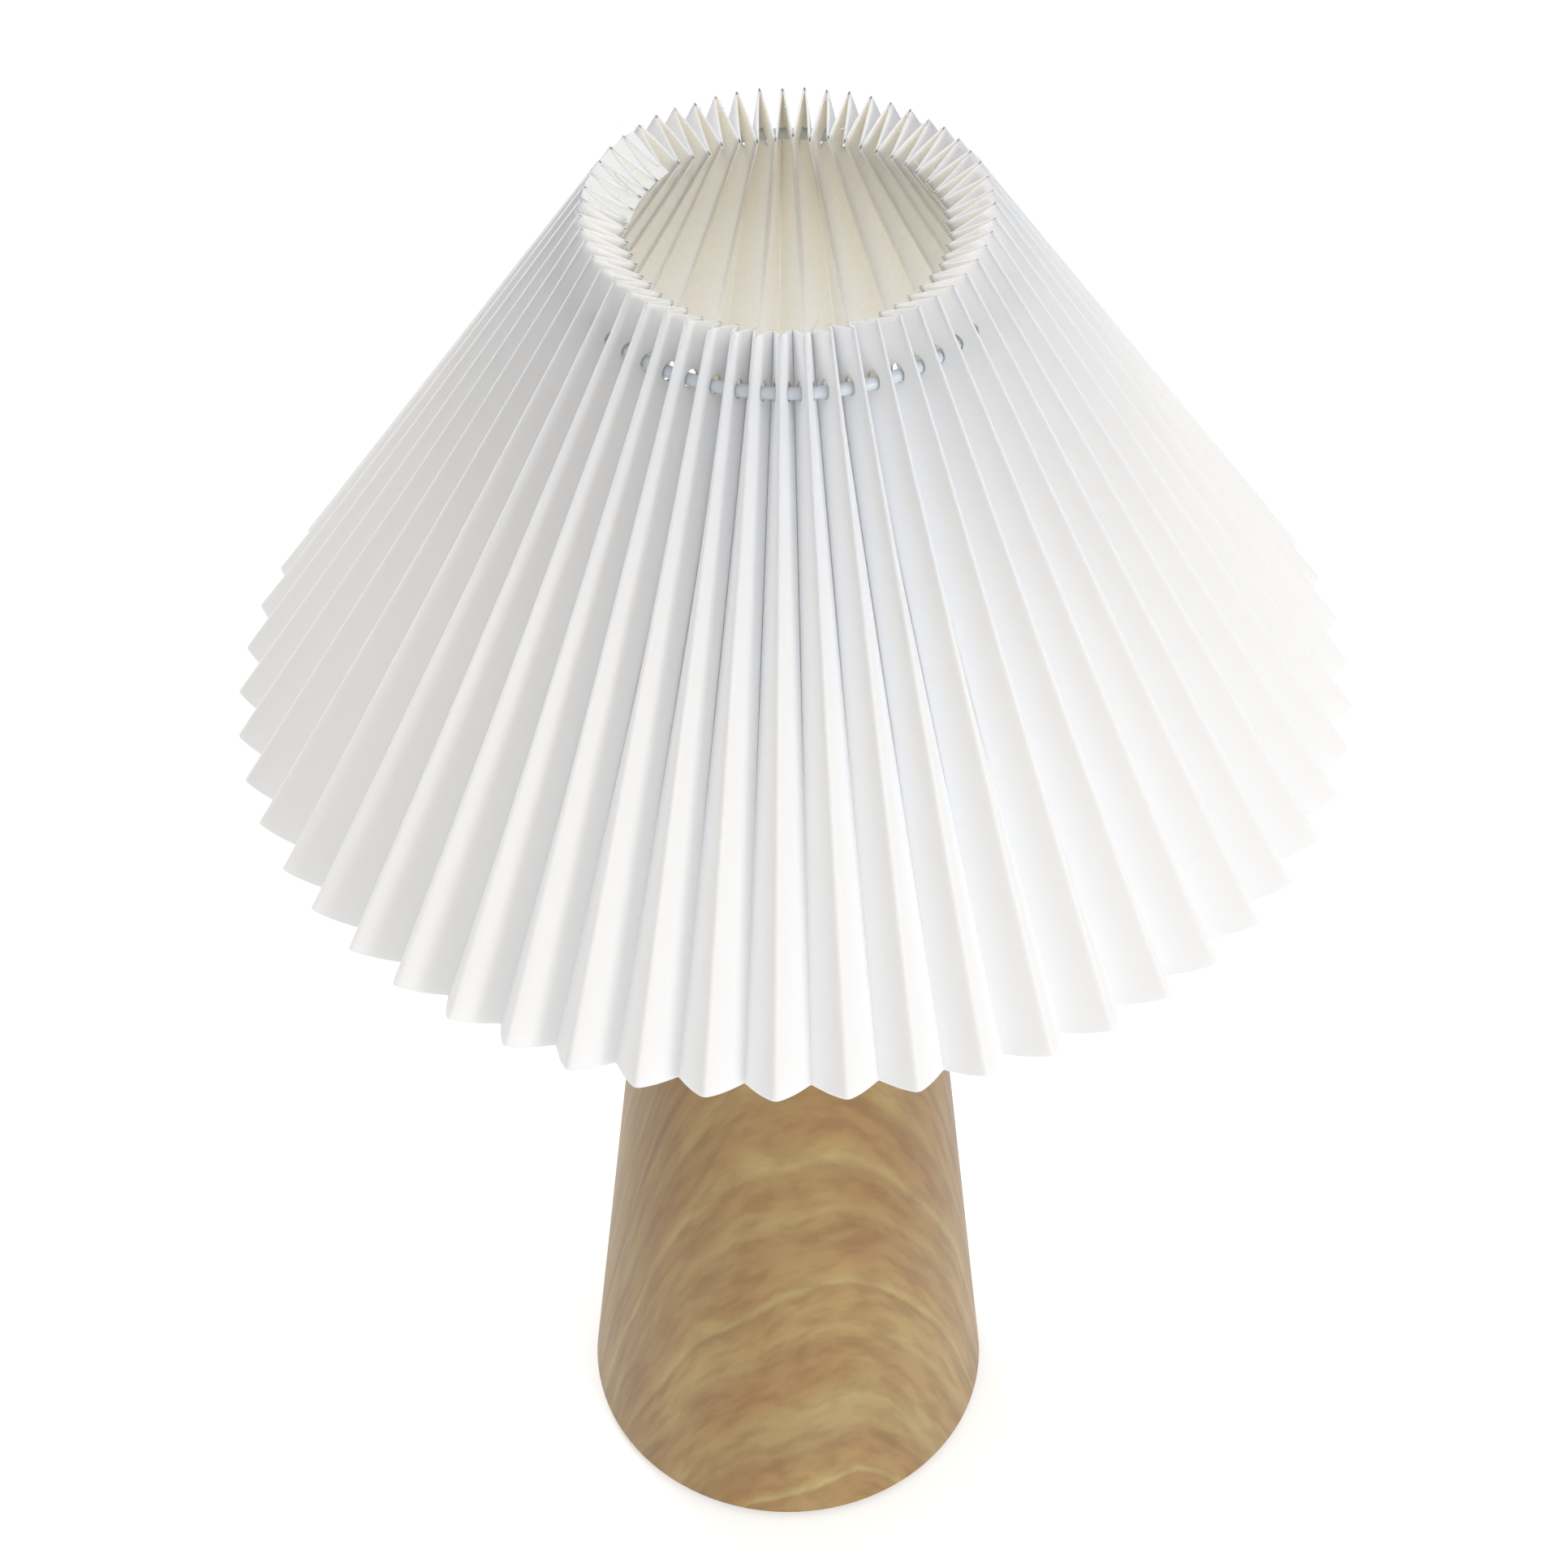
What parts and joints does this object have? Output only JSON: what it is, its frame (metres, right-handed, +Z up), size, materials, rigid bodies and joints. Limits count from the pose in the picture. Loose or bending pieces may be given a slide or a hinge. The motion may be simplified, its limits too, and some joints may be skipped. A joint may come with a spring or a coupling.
{
  "type": "table lamp",
  "caption": "Table lamp with a conical pleated paper shade, open at the top and hung on a wire ring, over a tapered round wooden base.",
  "frame": {"origin": "centre of the felt pad's underside, on the table top", "axes": "+Z up along the lamp's axis, -Y the pictured front"},
  "size_m": [0.2498, 0.2499, 0.401],
  "materials": {
    "oak_veneer": "satin",
    "felt": "matte",
    "steel_plate": "satin",
    "zinc_steel": "satin",
    "brass": "satin",
    "white_plastic": "satin",
    "pleated_sheet": "matte",
    "clear_tape": "gloss",
    "white_wire": "satin",
    "black_glass": "gloss",
    "nickel": "satin",
    "bulb_white": "gloss",
    "diffuser": "matte",
    "aluminium_plate": "satin"
  },
  "bodies": {
    "stand": {"wood_base": "oak_veneer", "felt_pad": "felt", "bottom_cover": "steel_plate", "cover_screws": "zinc_steel", "cable_bush": "white_plastic", "threaded_tube": "zinc_steel", "lower_washer": "zinc_steel", "lower_nut": "zinc_steel", "upper_washer": "brass", "upper_nut": "brass", "holder_cap": "white_plastic", "holder_skirt": "white_plastic", "holder_insert": "white_plastic", "terminal_screws": "brass", "screw_shell": "brass", "centre_contact": "brass"},
    "lower_collar": {"lower_collar": "white_plastic"},
    "upper_collar": {"upper_collar": "white_plastic"},
    "shade": {"pleated_shade": "pleated_sheet", "seam_tape": "clear_tape", "shade_ring": "white_wire", "carrier_ring": "white_wire", "carrier_arms": "white_wire"},
    "bulb": {"bulb_contact": "brass", "bulb_glass": "black_glass", "bulb_cap": "nickel", "bulb_body": "bulb_white", "bulb_diffuser": "diffuser", "led_plate": "aluminium_plate"}
  },
  "joints": [
    {"name": "lower_collar_turn", "type": "hinge", "parent": "stand", "child": "lower_collar", "pos_m": [0, 0, 0.2661], "axis": [0, 0, 1], "continuous": true},
    {"name": "upper_collar_turn", "type": "hinge", "parent": "stand", "child": "upper_collar", "pos_m": [0, 0, 0.2677], "axis": [0, 0, 1], "continuous": true},
    {"name": "shade_swivel", "type": "hinge", "parent": "stand", "child": "shade", "pos_m": [0, 0, 0.2661], "axis": [0, 0, 1], "continuous": true},
    {"name": "bulb_turn", "type": "hinge", "parent": "stand", "child": "bulb", "pos_m": [0, 0, 0.25115], "axis": [0, 0, 1], "continuous": true}
  ]
}
